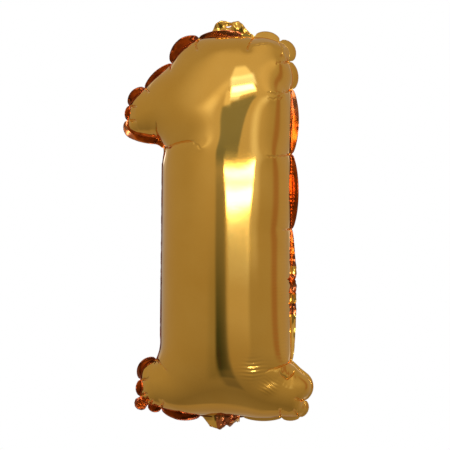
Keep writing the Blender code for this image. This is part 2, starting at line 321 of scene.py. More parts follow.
def membrane(flat, faces, fixed):
    """Sag of a membrane held at its fixed points, by conjugate gradients, and its slope at each point."""
    count = len(flat)
    p = flat[faces]
    opposite = p[:, [2, 0, 1]] - p[:, [1, 2, 0]]
    double = np.abs(opposite[:, 0, 0] * opposite[:, 1, 1] - opposite[:, 0, 1] * opposite[:, 1, 0])
    local = np.einsum("fik,fjk->fij", opposite, opposite) / (2 * double[:, None, None])
    rows, columns = np.repeat(faces, 3, axis=1).ravel(), np.tile(faces, (1, 3)).ravel()
    values = local.reshape(-1)
    load = np.bincount(faces.ravel(), np.repeat(double / 6, 3), count)
    free = ~fixed
    diagonal = np.bincount(rows[rows == columns], values[rows == columns], count)
    u, r = np.zeros(count), load * free
    z = r / diagonal
    d, rz = z.copy(), float(r @ z)
    for _ in range(MEMBRANE_ROUNDS):
        q = np.bincount(rows, values * d[columns], count) * free
        step = rz / float(d @ q)
        u += step * d
        r -= step * q
        z = r / diagonal * free
        new = float(r @ z)
        if new < 1e-12 * count:
            break
        d = z + new / rz * d
        rz = new
    turned = np.stack([-opposite[:, :, 1], opposite[:, :, 0]], axis=2) / double[:, None, None]
    sign = np.sign(np.cross(p[:, 1] - p[:, 0], p[:, 2] - p[:, 0]))
    slope = (turned * u[faces][:, :, None]).sum(axis=1) * sign[:, None]
    weight = np.bincount(faces.ravel(), np.repeat(double, 3), count)
    slopes = summed(faces.ravel(), np.repeat(slope * double[:, None], 3, axis=0), count) / weight[:, None]
    return u, slopes


def filled_dome(flat, faces, count):
    """The filled film's shape without puckers, and at each point the way to the seam and its distance."""
    fixed = np.arange(len(flat)) < count
    u, slope = membrane(flat, faces, fixed)
    inner = np.linalg.norm(slope, axis=1)
    half = np.sqrt(2 * u + inner**2) + 1e-6
    outward = -slope / (inner + 1e-6)[:, None]
    phi = math.pi / 2 * np.clip(inner / half, 0, 1)
    shift = outward * (half * np.sin(phi) - inner)[:, None]
    shift[fixed] = 0
    plane = from_flat(flat + shift)
    height = FULLNESS / FLAT_X * half * np.cos(phi)
    height[fixed] = 0
    shape = np.stack([plane[:, 0], -height, plane[:, 1]], axis=1)
    return shape, outward, half - inner


def normals_of(x, faces):
    p = x[faces]
    n = np.cross(p[:, 1] - p[:, 0], p[:, 2] - p[:, 0])
    return summed(faces.ravel(), np.repeat(n, 3, axis=0), len(x))


def relaxed(x, faces, edges, rest, pinned):
    """The film under pressure, with edges that can shorten but hardly stretch."""
    count = len(x)
    i, j = edges.T
    both = np.concatenate([i, j])
    valence = np.bincount(both, minlength=count)[:, None]
    free = np.where(pinned, 0.0, 1.0)[:, None]
    share = 1 / np.maximum(free[i] + free[j], 1e-9)
    previous = x.copy()
    for _ in range(RELAX_STEPS):
        n = normals_of(x, faces)
        n /= np.linalg.norm(n, axis=1)[:, None] + 1e-9
        moved = x + free * (DAMPING * (x - previous) + PRESSURE * n)
        previous = x
        x = moved
        for _ in range(EDGE_PASSES):
            d = x[j] - x[i]
            size = np.linalg.norm(d, axis=1)
            over = (size - rest) / size
            over = np.where(over > 0, over, SLACK * over)
            c = d * (over[:, None] * share)
            x = x + free * HASTE * summed(both, np.concatenate([c, -c]), count) / valence
        lap = summed(both, np.concatenate([x[j], x[i]]), count) / valence - x
        lap2 = summed(both, np.concatenate([lap[j], lap[i]]), count) / valence - lap
        x = x - free * STIFFNESS * lap2
        x[:, 1] = np.minimum(x[:, 1], 0.0)
    return x


def edges_of(faces):
    sides = np.concatenate([faces[:, [0, 1]], faces[:, [1, 2]], faces[:, [2, 0]]])
    return np.unique(np.sort(sides, axis=1), axis=0)


def calmed(x, edges, calm, passes):
    """The film with the mesh's own small unevenness taken out where calm is 1, without shrinking it."""
    count = len(x)
    i, j = edges.T
    both = np.concatenate([i, j])
    valence = np.bincount(both, minlength=count)[:, None]
    for _ in range(passes):
        for share in SMOOTHING:
            mean = summed(both, np.concatenate([x[j], x[i]]), count) / valence
            x = x + share * calm[:, None] * (mean - x)
    return x


def refined(values, faces):
    """Each triangle split into four, with the values of the points averaged at the middles of the sides."""
    edges = edges_of(faces)
    count = len(values)
    key = edges[:, 0] * count + edges[:, 1]
    middle = []
    for a, b in ((0, 1), (1, 2), (2, 0)):
        pair = np.sort(faces[:, [a, b]], axis=1)
        middle.append(count + np.searchsorted(key, pair[:, 0] * count + pair[:, 1]))
    ab, bc, ca = middle
    a, b, c = faces.T
    quarters = ((a, ab, ca), (b, bc, ab), (c, ca, bc), (ab, bc, ca))
    split = np.concatenate([np.stack(quarter, axis=1) for quarter in quarters])
    return np.concatenate([values, values[edges].mean(axis=1)]), split


def unit_normals(x, faces):
    n = normals_of(x, faces)
    return n / (np.linalg.norm(n, axis=1)[:, None] + 1e-9)


def patch(x, z, place):
    """How strong a soft round patch is at each point, and how far above its middle the point is."""
    across, width, up, height = place
    return np.exp(-(((x - across) / width) ** 2) - ((z - up) / height) ** 2), z - up


def ripple_heights(x, z, phase):
    """Fine ripples: faint ones right of the stem's middle, and deeper ones where the foot's right arm is
    folded. The film also leans in facets there."""
    # both sets of waves wander a little, so that no two are alike
    wave = np.sin(2 * math.pi * z / RIPPLE + 0.8 * np.sin(x / 3.0) + 2.1 * np.sin(z / 17.0) + phase)
    slanted = np.sin(2 * math.pi * (z + 0.7 * x) / RIPPLE + 0.6 * np.sin(x / 2.0) + phase)
    side = np.clip((x - RIPPLED_SIDE[0]) / RIPPLED_SIDE[1], 0, 1)
    side *= np.clip((z - RIPPLED_FOOT[0]) / RIPPLED_FOOT[1], 0, 1)
    side *= np.clip((RIPPLED_TOP[0] - z) / RIPPLED_TOP[1], 0, 1)
    patches = np.sin(z / 13.0 + 1.4 * np.sin(x / 6.0 + phase)) ** 2
    side *= LEAST_RIPPLES + (1 - LEAST_RIPPLES) * patches
    above, over_above = patch(x, z, ABOVE_ARM)
    on, over_on = patch(x, z, ON_ARM)
    facets = ABOVE_SLANT * over_above * above + ON_SLANT * over_on * on
    return RIPPLE_HEIGHT * (wave * (side + ABOVE_RIPPLES * above) + ON_RIPPLES * slanted * on) - facets


def film_shape(seam):
    """The filled front film, as points and triangles, with how far each point is from the seam."""
    flat, faces, count, pull, mark = film_mesh(seam)
    shape, outward, depth = filled_dome(flat, faces, count)
    if normals_of(shape, faces)[:, 1].sum() > 0:
        faces = faces[:, ::-1]
    n = unit_normals(shape, faces)
    edges = edges_of(faces)
    i, j = edges.T
    size = np.linalg.norm(shape[j] - shape[i], axis=1)
    seamward = outward[i] + outward[j]
    seamward = seamward / (np.linalg.norm(seamward, axis=1) + 1e-6)[:, None]
    flat_d = flat[j] - flat[i]
    across = np.abs((flat_d * seamward).sum(axis=1)) / np.linalg.norm(flat_d, axis=1)
    near = np.exp(-(((depth[i] + depth[j]) / 2 / EXCESS_REACH) ** 2))
    rest = size * (1 + EXCESS * near * (1 - across**2))
    x = shape - n * pull[:, None]
    pulled = pull > PULLED
    pinned = (np.arange(len(flat)) < count) | pulled
    x = relaxed(x, faces, edges, rest, pinned)
    calm = np.clip((depth - CALM_FROM) / CALM_OVER[0], 0, 1)
    calm = calm * np.clip((distance(flat, flat[pulled]) - CALM_FROM) / CALM_OVER[1], 0, 1)
    x = calmed(x, edges, calm, CALM_PASSES)
    calm[count:] = np.maximum(calm[count:], LEAST_CALM)
    every = np.column_stack([x, calm, depth, mark])
    for passes in REFINED_PASSES[: 2]:
        every, faces = refined(every, faces)
        every[:, :3] = calmed(every[:, :3], edges_of(faces), every[:, 3], passes)
    x = every[:, :3]
    return x - unit_normals(x, faces) * GROOVE * every[:, 5:6], faces, every[:, 4]


def linked(name, verts, faces):
    mesh = bpy.data.meshes.new(name)
    mesh.from_pydata((np.array(verts) * MM).tolist(), [], [list(map(int, f)) for f in faces])
    mesh.shade_smooth()
    obj = bpy.data.objects.new(name, mesh)
    bpy.context.scene.collection.objects.link(obj)
    return obj


def film_skin(name, side, shape):
    x, faces, depth = shape
    height = ripple_heights(x[:, 0], x[:, 2], side) * np.clip(depth / 3, 0, 1)
    x = x + unit_normals(x, faces) * height[:, None]
    return linked(name, x * (1, -side, 1), faces[:, ::-1] if side > 0 else faces)


def outward_of(seam):
    ahead = np.roll(seam, -1, axis=0) - np.roll(seam, 1, axis=0)
    out = np.stack([-ahead[:, 1], ahead[:, 0]], axis=1)
    out = out + 0.5 * (np.roll(out, 1, axis=0) + np.roll(out, -1, axis=0))
    return out / np.linalg.norm(out, axis=1)[:, None]


def crumple(points, size, seed, octaves=3):
    """A creased surface's height, about -1 to 1: folded waves of the given size, half of it and so on."""
    rng = np.random.default_rng(seed)
    total = np.zeros(len(points))
    for octave in range(octaves):
        ways = rng.normal(size=(CRUMPLE_WAVES, points.shape[1]))
        ways *= 2 * math.pi / (2 * size / 2**octave) / np.linalg.norm(ways, axis=1)[:, None]
        waves = np.abs(np.sin(points @ ways.T + rng.uniform(0, 2 * math.pi, CRUMPLE_WAVES))).mean(axis=1)
        total += (waves - 2 / math.pi) / 2**octave
    return 3 * total


def solidified(obj, thickness):
    thick = obj.modifiers.new("thickness", "SOLIDIFY")
    thick.thickness = thickness * MM
    thick.offset = 0.0


def grid_faces(rows, columns, closed=False):
    faces = []
    for k in range(rows - 1):
        for i in range(columns if closed else columns - 1):
            j = (i + 1) % columns
            faces.append((k * columns + i, k * columns + j, (k + 1) * columns + j, (k + 1) * columns + i))
    return faces


def border_skin(seam, stretch, along):
    """The welded border: a strip of lobes between the pinches, each with its own lean and crinkles."""
    facts = [SEAM[i] for i in stretch]
    widest = np.array([f[0] for f in facts])
    lean = np.radians([f[1][0] + (f[1][1] - f[1][0]) * a for f, a in zip(facts, along)])
    rough = np.array([f[2] for f in facts])
    swell = np.sin(math.pi * along) ** 0.5
    width = PINCH_BORDER + (widest - PINCH_BORDER) * swell
    x, z = seam.T
    right = stretch == RIGHT_STRETCH
    crinkled = right & (z > CRINKLED[0]) & (z < CRINKLED[1])
    light = np.isin(stretch, LIGHT_LOBES) | ((stretch == 0) & (x > LIGHT_FROM))
    light |= right & (z < CRINKLED[0])
    light |= crinkled & (np.sin(z / LIGHT_SPOTS[0]) + np.sin(z / LIGHT_SPOTS[1]) > LIGHT_SPOTS[2])
    rough = np.where(right, np.where(crinkled, BADLY, HARDLY), rough)
    window = np.ones(2 * ROUGH_BLEND + 1) / (2 * ROUGH_BLEND + 1)
    rough = np.convolve(np.concatenate([rough[-ROUGH_BLEND:], rough, rough[:ROUGH_BLEND]]), window, "valid")
    out = outward_of(seam)
    step = np.linalg.norm(np.roll(seam, -1, axis=0) - seam, axis=1)
    at = np.concatenate([[0], np.cumsum(step)[:-1]])
    rows = np.linspace(*BORDER_ROWS)
    verts = []
    for r in rows:
        reach = width * r
        place = np.stack([at, 0.5 * reach], axis=1)
        noise = crumple(place, BORDER_CRINKLES, seed=7, octaves=2) * rough * max(r, 0)
        tilt = np.clip(lean * np.where(light, 1.0, swell) + CRINKLE_LEAN * noise, *MAX_LEAN)
        plane = seam + out * (reach + CRINKLE_EDGE * noise)[:, None]
        verts.append(np.stack([plane[:, 0], reach * np.tan(tilt), plane[:, 1]], axis=1))
    obj = linked("border_weld_skin", np.concatenate(verts), grid_faces(len(rows), len(seam), True))
    # Painted shade: the border gets the welds' dark red, darker still on some stretches; where it is light
    # it keeps the film's gold, and the gold spots on the crinkled stretch are painted glints.
    for face in obj.data.polygons:
        point = face.index % len(seam)
        face.material_index = 1 if light[point] else 2 * int(stretch[point] in DEEP_SHADE_LOBES)
    solidified(obj, WELD)
    return obj


# ---------------------------------------------------------------- the tab, the tail and the valve
TAB_FOLD = -5.5
TAB_OUTLINE = (
    (-16.2, -6.5),
    (16.0, -6.5),
    (21.6, -9.4),
    (13.0, 0.0),
    (8.6, 4.8),
    (5.6, 4.4),
    (2.6, 3.2),
    (-2.0, 4.6),
    (-6.5, 4.4),
    (-11.5, 1.6),
)
TAB_STEP = 1.0  # between points of its edge
TAB_GRID = 0.9  # and of its inside, which are
TAB_GAPS = (0.5, 0.4)  # no nearer than this to the edge and to the hole
TAB_CRUMPLE = 2.3  # height of its creases,
TAB_CREASES = 15.0  # and their size
TAB_ROOT = 4.0  # height over which they grow from the fold
TAB_SLUMP = 0.4  # how far the film goes down where it goes back, as a share of that
TAB_THICKNESS = 0.3
HOLE_SIDES = 28
HOLE_RADIUS = 2.6
HOLE_CLOSED = 0.3  # the crumpled hole's height over its width
TAIL_CENTRE = -6.0
TAIL_FOLD = -350.5
TAIL_TILT = 105.0
TAIL_LENGTH = 32.0
TAIL_WIDTH = 27.0
TAIL_WELD = 3.0
NECK_TOP = -338.2
NECK_WIDTH = 37.0
NECK_CURVE = 1.3  # how fast it narrows: 1 is straight
FOLD_RADIUS = 1.6
FOLD_GATHER = 4.0  # how far each side of the tail is gathered in at the fold
FOLD_REACH = 7.0  # how far along the tail that is felt
FOLD_SHIFT = 0.8  # and how far it moves to the left there
FOLD_SLANT = 4.0  # how much higher the fold is for each half width to the right
SLANT_FROM = -0.3  # of this share of the half width
FOLD_EASING = 12.0  # length past the fold over which the film comes back to its own line
TAIL_COLUMNS = 1.4  # between points across the tail
TAIL_ROWS = 0.7  # and along it
TAIL_CRUMPLE = 2.4  # height of its creases,
TAIL_CREASES = 7.0  # and their size across it
CREASE_LENGTH = 0.35  # the smaller this is, the longer they are
FROM_SEAM = 5.0  # length over which they grow from the seam
SMOOTH_LEFT = 0.12  # share of them that is left at the tail's left side,
SMOOTH_TO = -0.6  # up to this share of the half width
NECK_LEAN = 0.3  # how steeply the neck's left side goes back,
LEAN_FROM = -0.2  # to the left of this share of the half width
NECK_SHADE_FROM = -0.4  # the neck gets the welds' dark red as painted shade from this share to its right side,
SHADE_PAST = 3.0  # and this far past the fold
TAIL_APART = 0.45  # each film from the middle of the tail,
PLY_APART = 0.14  # and each ply
TAIL_BOND = 0.5  # thickness of its welds, and how much they end short of the films
WELD_START = 1  # they start this far below the seam
PLY = 0.1
VALVE_WIDTH = 18.0
VALVE_TAPER = 3.0
VALVE_HINGE = -335.0
VALVE_TOP = -280.0
VALVE_START = 0.5  # the loose plies start this far above the hinge
VALVE_ROWS = 40
VALVE_COLUMNS = 14
VALVE_BOW = (0.16, 0.5)  # each ply from the middle, and how much further where it is loosest
VALVE_WAVES = 22.0  # size of their waves,
VALVE_WAVE = 0.5  # and their height
VALVE_MOUTH = 6.0  # the plies end this far short of the tail's open end


def tab_skin():
    """The hang tab, both films thick, crumpled from handling, with its punched hole at the origin."""
    corners = np.array([*TAB_OUTLINE, TAB_OUTLINE[0]])
    edge, _ = resampled(corners, TAB_STEP)
    edge = edge[:-1]
    turns = np.linspace(0, 2 * math.pi, HOLE_SIDES, endpoint=False)
    hole = HOLE_RADIUS * np.stack([np.cos(turns), HOLE_CLOSED * np.sin(turns)], axis=1)
    low, high = edge.min(axis=0), edge.max(axis=0)
    heights = np.arange(low[1], high[1], TAB_GRID)
    grid = np.array([(x, z) for z in heights for x in np.arange(low[0], high[0], TAB_GRID)])
    grid = grid[inside(grid, edge) & (distance(grid, edge) > TAB_GAPS[0])]
    grid = grid[~inside(grid, hole) & (distance(grid, hole) > TAB_GAPS[1])]
    sides = []
    for first, count in ((0, len(edge)), (len(edge), len(hole))):
        sides += [(first + i, first + (i + 1) % count) for i in range(count)]
    made = delaunay_2d_cdt([Vector(p) for p in (*edge, *hole, *grid)], sides, [], 0, 1e-6)
    flat, faces = np.array([tuple(v) for v in made[0]]), np.array(made[2])
    middle = flat[faces].mean(axis=1)
    faces = faces[inside(middle, edge) & ~inside(middle, hole)]
    rise = np.clip((flat[:, 1] - TAB_FOLD) / TAB_ROOT, 0, 1)
    y = TAB_CRUMPLE * crumple(flat, TAB_CREASES, seed=3, octaves=2) * rise
    obj = linked("hang_tab_skin", np.stack([flat[:, 0], y, flat[:, 1] - TAB_SLUMP * y], axis=1), faces)
    solidified(obj, TAB_THICKNESS)
    return obj


def tail_path(t, short):
    """Middle line of the neck and tail: (y, z) and the way the front face looks, at t mm from the seam. The
    film is gathered so that the fold comes short mm higher."""
    neck = NECK_TOP - TAIL_FOLD - FOLD_RADIUS
    turn = math.radians(TAIL_TILT)
    bend = FOLD_RADIUS * turn
    if t < neck:
        return 0.0, NECK_TOP - t * (1 - short / neck), 0.0
    top = NECK_TOP - neck + short
    if t < neck + bend:
        a = (t - neck) / FOLD_RADIUS
        return FOLD_RADIUS * (1 - math.cos(a)), top - FOLD_RADIUS * math.sin(a), a
    rest = t - neck - bend
    easing = short * (1 - math.exp(-rest / FOLD_EASING))
    y = FOLD_RADIUS * (1 - math.cos(turn)) + rest * math.sin(turn)
    return y, top - easing - FOLD_RADIUS * math.sin(turn) - rest * math.cos(turn), turn


def tail_strip(name, left, right, off, thickness, start, end):
    """A crumpled strip of the neck and tail between two shares of its width, off mm behind its middle."""
    neck = NECK_TOP - TAIL_FOLD
    columns = max(5, int((right - left) * TAIL_WIDTH / TAIL_COLUMNS))
    lengths = np.arange(start, end + 0.01, TAIL_ROWS)
    verts = []
    for t in lengths:
        gather = math.exp(-(((t - neck) / FOLD_REACH) ** 2))
        wider = (NECK_WIDTH - TAIL_WIDTH) / 2 * (1 - min(1, t / neck)) ** NECK_CURVE
        half = TAIL_WIDTH / 2 + wider - FOLD_GATHER * gather
        grown = min(1.0, t / FROM_SEAM)
        for a in np.linspace(left, right, columns):
            y, z, turn = tail_path(t, FOLD_SLANT * max(0.0, a - SLANT_FROM))
            x = TAIL_CENTRE - FOLD_SHIFT * gather + half * a
            place = np.array([[half * a, CREASE_LENGTH * t]])
            folds = TAIL_CRUMPLE * crumple(place, TAIL_CREASES, seed=11, octaves=2)[0] * grown
            turned = NECK_LEAN * half * max(0.0, LEAN_FROM - a) * grown
            share = SMOOTH_LEFT + (1 - SMOOTH_LEFT) * min(1.0, max(0.0, a - SMOOTH_TO))
            wave = turned + folds * share + off
            verts.append((x, y + wave * math.cos(turn), z + wave * math.sin(turn)))
    obj = linked(name, verts, grid_faces(len(lengths), columns))
    # Painted shade: the neck's right side, to a little past the fold, gets the welds' dark red.
    for face in obj.data.polygons:
        row, column = divmod(face.index, columns - 1)
        share = left + (right - left) * column / (columns - 1)
        face.material_index = int(share > NECK_SHADE_FROM and lengths[row] < neck + SHADE_PAST)
    solidified(obj, thickness)
    return obj


def valve_skin(name, side):
    """One clear ply of the valve, hanging free inside the balloon."""
    verts = []
    for up in np.linspace(0, 1, VALVE_ROWS):
        half = VALVE_WIDTH / 2 - VALVE_TAPER * up
        x = np.linspace(-half, half, VALVE_COLUMNS)
        z = np.full(VALVE_COLUMNS, VALVE_HINGE + VALVE_START + (VALVE_TOP - VALVE_HINGE - VALVE_START) * up)
        bow = VALVE_BOW[0] + VALVE_BOW[1] * (1 - (x / half) ** 2) * up
        y = side * bow + VALVE_WAVE * crumple(np.stack([x, z], axis=1), VALVE_WAVES, seed=5) * up
        verts.append(np.stack([TAIL_CENTRE + x, y, z], axis=1))
    obj = linked(name, np.concatenate(verts), grid_faces(VALVE_ROWS, VALVE_COLUMNS))
    solidified(obj, PLY)
    return obj


# ---------------------------------------------------------------- materials
def shader_of(name):
    made = bpy.data.materials.new(name)
    made.use_nodes = True
    return made, made.node_tree, made.node_tree.nodes["Principled BSDF"]


def noise_of(tree, size, detail=3.0):
    """A noise from 0 to 1 with blotches of the given size in mm, fixed to the piece."""
    place = tree.nodes.new("ShaderNodeTexCoord")
    noise = tree.nodes.new("ShaderNodeTexNoise")
    noise.inputs["Scale"].default_value = 1 / (size * MM)
    noise.inputs["Detail"].default_value = detail
    tree.links.new(place.outputs["Object"], noise.inputs["Vector"])
    return noise.outputs["Fac"]


def ranged(tree, value, low, high):
    """value, which is mostly from 0.3 to 0.7, spread from low to high."""
    node = tree.nodes.new("ShaderNodeMapRange")
    for name, given in (("From Min", 0.3), ("From Max", 0.7), ("To Min", low), ("To Max", high)):
        node.inputs[name].default_value = given
    tree.links.new(value, node.inputs["Value"])
    return node.outputs["Result"]


def tinted(tree, value, one, other, socket):
    """A colour between the two, into the socket."""
    mix = tree.nodes.new("ShaderNodeMix")
    mix.data_type = "RGBA"
    mix.inputs[6].default_value = (*one, 1)
    mix.inputs[7].default_value = (*other, 1)
    tree.links.new(ranged(tree, value, 0, 1), mix.inputs[0])
    tree.links.new(mix.outputs[2], socket)


def bumped(tree, shader, value, strength, height):
    bump = tree.nodes.new("ShaderNodeBump")
    bump.inputs["Strength"].default_value = strength
    bump.inputs["Distance"].default_value = height * MM
    tree.links.new(value, bump.inputs["Height"])
    tree.links.new(bump.outputs["Normal"], shader.inputs["Normal"])


def foil(name, colours, roughness, blotch, grain, strength):
    """Metal foil under a clear coat: its colour and its polish vary a little, and it is finely uneven."""
    made, tree, shader = shader_of(name)
    shader.inputs["Metallic"].default_value = 1.0
    shader.inputs["Coat Weight"].default_value = 0.3
    shader.inputs["Coat Roughness"].default_value = 0.06
    tinted(tree, noise_of(tree, blotch), *colours, shader.inputs["Base Color"])
    tree.links.new(ranged(tree, noise_of(tree, 3 * blotch), *roughness), shader.inputs["Roughness"])
    bumped(tree, shader, noise_of(tree, grain), strength, 0.2)
    return made


def clear_film(name):
    """Thin clear plastic, milky in blotches and finely uneven."""
    made, tree, shader = shader_of(name)
    shader.inputs["Specular IOR Level"].default_value = 0.6
    tinted(tree, noise_of(tree, 4.0), (0.80, 0.83, 0.85), (0.90, 0.92, 0.93), shader.inputs["Base Color"])
    tree.links.new(ranged(tree, noise_of(tree, 6.0), 0.10, 0.24), shader.inputs["Roughness"])
    tree.links.new(ranged(tree, noise_of(tree, 9.0), 0.28, 0.5), shader.inputs["Alpha"])
    bumped(tree, shader, noise_of(tree, 1.2, 1.0), 0.15, 0.1)
    return made


# ---------------------------------------------------------------- the studio
VIEW_AZIMUTH = 6.0
VIEW_DISTANCE = 1.25
VIEW_WIDTH = 0.3915
VIEW_CENTRE = (-0.0033, 0.0, -0.173)
SENSOR = 36.0
FLOOR_RADIUS = 2.4
FLOOR_HEIGHT = -0.95

# What the foil reflects, as directions in degrees: azimuth from the front towards +X, and elevation. The
# walls are (elevation, radiance). Each panel is (azimuth from and to at its foot, the same at its head,
# elevation from and to, softness in azimuth and elevation, radiance added). Negative radiance is a darker
# thing in front of the walls.
WALLS = ((-90, 0.25), (-60, 0.21), (-40, 0.27), (-20, 0.33), (0, 0.38), (30, 0.40), (90, 0.40))
WALL_TINT = (1.0, 0.93, 0.84)
DARKEST = (0.05, 0.05, 0.05)
WINDOW_SLOPE = 0.028  # how much lower the lower window is for each degree to the right
WINDOW = (
    # the lower window, with a bar across it
    ((3, 42), (-3, 47), (1.9, 5.95), (3, 0.7), (13.0, 13.0, 13.0)),
    ((0.3, 44.3), (-1.9, 46.1), (3.8, 5.0), (3, 0.5), (-11.9, -11.3, -9.4)),
)
PANELS = (
    # the lit room in front, and a pale slanted thing on its left
    ((-48, 68), (-48, 68), (5, 80), (50, 20), (0.18, 0.19, 0.25)),
    ((-38, -26), (0, 12), (12, 40), (12, 12), (0.20, 0.22, 0.30)),
    ((-30, -20), (-18, -8), (15, 26), (8, 8), (0.16, 0.20, 0.35)),
    # the light that the lower window throws on the ground
    ((6, 41), (4, 41), (0.2, 3), (4, 2.4), (0.36, 0.60, 1.2)),
    ((7, 41), (5, 41), (-4, 3), (6, 4), (0.10, 0.16, 0.32)),
    ((6, 41), (3, 41), (-14, 3), (8, 14), (0.08, 0.10, 0.16)),
    ((10, 40), (5, 40), (-38, -2), (8, 16), (0.05, 0.04, 0.03)),
    # the upper window
    ((6, 37), (7, 35), (27.2, 34), (3, 1.6), (1.8, 2.2, 3.4)),
    ((7, 36), (8, 34), (29.7, 34), (4, 1.6), (7.0, 7.0, 7.0)),
    ((5, 17), (7, 20), (25.0, 28), (3, 2), (0.5, 0.8, 1.6)),
    ((-3, 6), (1, 7), (22, 31), (4, 3), (0.30, 0.34, 0.5)),
    ((6, 40), (6, 37), (34, 42), (5, 4), (0.6, 0.9, 2.0)),
    ((5, 36), (10, 26), (40, 53), (5, 6), (0.5, 0.64, 1.0)),
    # the dark thing between them, the pale one on its right, and the dark post below
    ((-16, 17), (-5, 35), (6.5, 21), (4, 1.6), (-0.32, -0.26, -0.22)),
    ((-4, 38), (14, 34), (21, 24.6), (4, 1.8), (-0.32, -0.26, -0.22)),
    ((38, 56), (41, 48), (-1, 17), (12, 8), (0.26, 0.34, 0.6)),
    ((46, 70), (46, 70), (26, 44), (18, 12), (0.10, 0.10, 0.12)),
    ((-13, 6), (-15.5, 0.5), (-26, 5.6), (6, 3), (-0.18, -0.15, -0.12)),
    ((-10.5, 10), (-13, 6), (-36, -26), (8, 3), (-0.17, -0.142, -0.113)),
    ((-8, 14), (-10.5, 10), (-43, -36), (8, 3), (-0.13, -0.11, -0.088)),
    ((-2, 24), (-8, 14), (-54, -43), (10, 6), (-0.08, -0.07, -0.05)),
    ((-14, 4), (-14, 0), (-36, -8), (6, 16), (-0.05, -0.05, -0.06)),
    ((-25, -4), (-25, -4), (-44, -2), (14, 10), (-0.06, -0.05, -0.05)),
    # a red thing on the right, and the room behind
    ((85, 99), (85, 99), (-14, 34), (10, 16), (-0.05, -0.13, -0.14)),
    ((103, 135), (103, 135), (-30, 30), (16, 16), (0.03, 0.02, 0.03)),
    ((148, 166), (148, 166), (-34, 34), (10, 14), (0.26, 0.26, 0.24)),
    ((-174, -166), (-174, -166), (-30, 30), (6, 16), (0.24, 0.24, 0.22)),
    ((-148, -132), (-144, -136), (4, 30), (8, 12), (0.22, 0.22, 0.20)),
    ((-168, -150), (-168, -150), (4, 9), (5, 2), (1.3, 1.3, 1.2)),
    ((172, 180), (172, 180), (-40, 20), (4, 12), (-0.2, -0.2, -0.2)),
    # the pale ground behind
    ((100, 200), (100, 200), (-85, -40), (20, 14), (0.12, 0.10, 0.08)),
    ((-200, -100), (-200, -100), (-85, -40), (20, 14), (0.12, 0.10, 0.08)),
)


class World:
    """The world's node tree, with each node added by a call."""

    def __init__(self):
        self.world = bpy.data.worlds.new("studio")
        self.world.use_nodes = True
        self.tree = self.world.node_tree

    def put(self, socket, value):
        if isinstance(value, (int, float, tuple)):
            socket.default_value = value
        else:
            self.tree.links.new(value, socket)

    def math(self, operation, *values):
        node = self.tree.nodes.new("ShaderNodeMath")
        node.operation = operation
        for socket, value in zip(node.inputs, values):
            self.put(socket, value)
        return node.outputs[0]

    def step(self, value, low, high):
        """0 where value is at low, 1 where it is at high, and smooth between them."""
        node = self.tree.nodes.new("ShaderNodeMapRange")
        node.interpolation_type = "SMOOTHSTEP"
        for name, given in (("Value", value), ("From Min", low), ("From Max", high)):
            self.put(node.inputs[name], given)
        return node.outputs["Result"]

    def vector(self, operation, *values):
        node = self.tree.nodes.new("ShaderNodeVectorMath")
        node.operation = operation
        for socket, value in zip(node.inputs, values):
            self.put(socket, value)
        return node.outputs[0]


def studio_world():
    w = World()
    nodes, links = w.tree.nodes, w.tree.links
    place = nodes.new("ShaderNodeTexCoord")
    parts = nodes.new("ShaderNodeSeparateXYZ")
    links.new(place.outputs["Generated"], parts.inputs[0])
    x, y, z = parts.outputs
    degrees = 180 / math.pi
    azimuth = w.math("MULTIPLY", w.math("ARCTAN2", x, w.math("MULTIPLY", y, -1.0)), degrees)
    elevation = w.math("MULTIPLY", w.math("ARCSINE", z), degrees)
    ramp = nodes.new("ShaderNodeValToRGB")
    links.new(w.math("MULTIPLY_ADD", elevation, 1 / 180, 0.5), ramp.inputs[0])
    ramp.color_ramp.elements.remove(ramp.color_ramp.elements[0])
    for k, (angle, radiance) in enumerate(WALLS):
        stop = ramp.color_ramp.elements[0] if k == 0 else ramp.color_ramp.elements.new(angle / 180 + 0.5)
        stop.position = angle / 180 + 0.5
        stop.color = (*(radiance * tint for tint in WALL_TINT), 1)
    total = ramp.outputs[0]
    sloped = w.math("MULTIPLY_ADD", azimuth, WINDOW_SLOPE, elevation)
    for height, (foot, head, (low, high), (soft_az, soft_el), radiance) in (
        *((sloped, panel) for panel in WINDOW),
        *((elevation, panel) for panel in PANELS),
    ):
        up = w.math("MULTIPLY_ADD", height, 1 / (high - low), -low / (high - low))
        up = w.math("MINIMUM", w.math("MAXIMUM", up, 0.0), 1.0)
        left = w.math("MULTIPLY_ADD", up, float(head[0] - foot[0]), float(foot[0]))
        right = w.math("MULTIPLY_ADD", up, float(head[1] - foot[1]), float(foot[1]))
        shape = w.step(w.math("SUBTRACT", azimuth, left), -soft_az / 2, soft_az / 2)
        inner = w.step(w.math("SUBTRACT", right, azimuth), -soft_az / 2, soft_az / 2)
        shape = w.math("MULTIPLY", shape, inner)
        shape = w.math("MULTIPLY", shape, w.step(height, low - soft_el / 2, low + soft_el / 2))
        shape = w.math("MULTIPLY", shape, w.step(height, high + soft_el / 2, high - soft_el / 2))
        spread = nodes.new("ShaderNodeCombineXYZ")
        for socket in spread.inputs:
            links.new(shape, socket)
        total = w.vector("MULTIPLY_ADD", spread.outputs[0], radiance, total)
    total = w.vector("MAXIMUM", total, DARKEST)
    reflected, white = nodes.new("ShaderNodeBackground"), nodes.new("ShaderNodeBackground")
    links.new(total, reflected.inputs["Color"])
    white.inputs["Color"].default_value = (1, 1, 1, 1)
    path = nodes.new("ShaderNodeLightPath")
    mix = nodes.new("ShaderNodeMixShader")
    seen = w.math("MAXIMUM", path.outputs["Is Camera Ray"], path.outputs["Is Diffuse Ray"])
    links.new(seen, mix.inputs[0])
    links.new(reflected.outputs[0], mix.inputs[1])
    links.new(white.outputs[0], mix.inputs[2])
    links.new(mix.outputs[0], nodes["World Output"].inputs["Surface"])
    bpy.context.scene.world = w.world


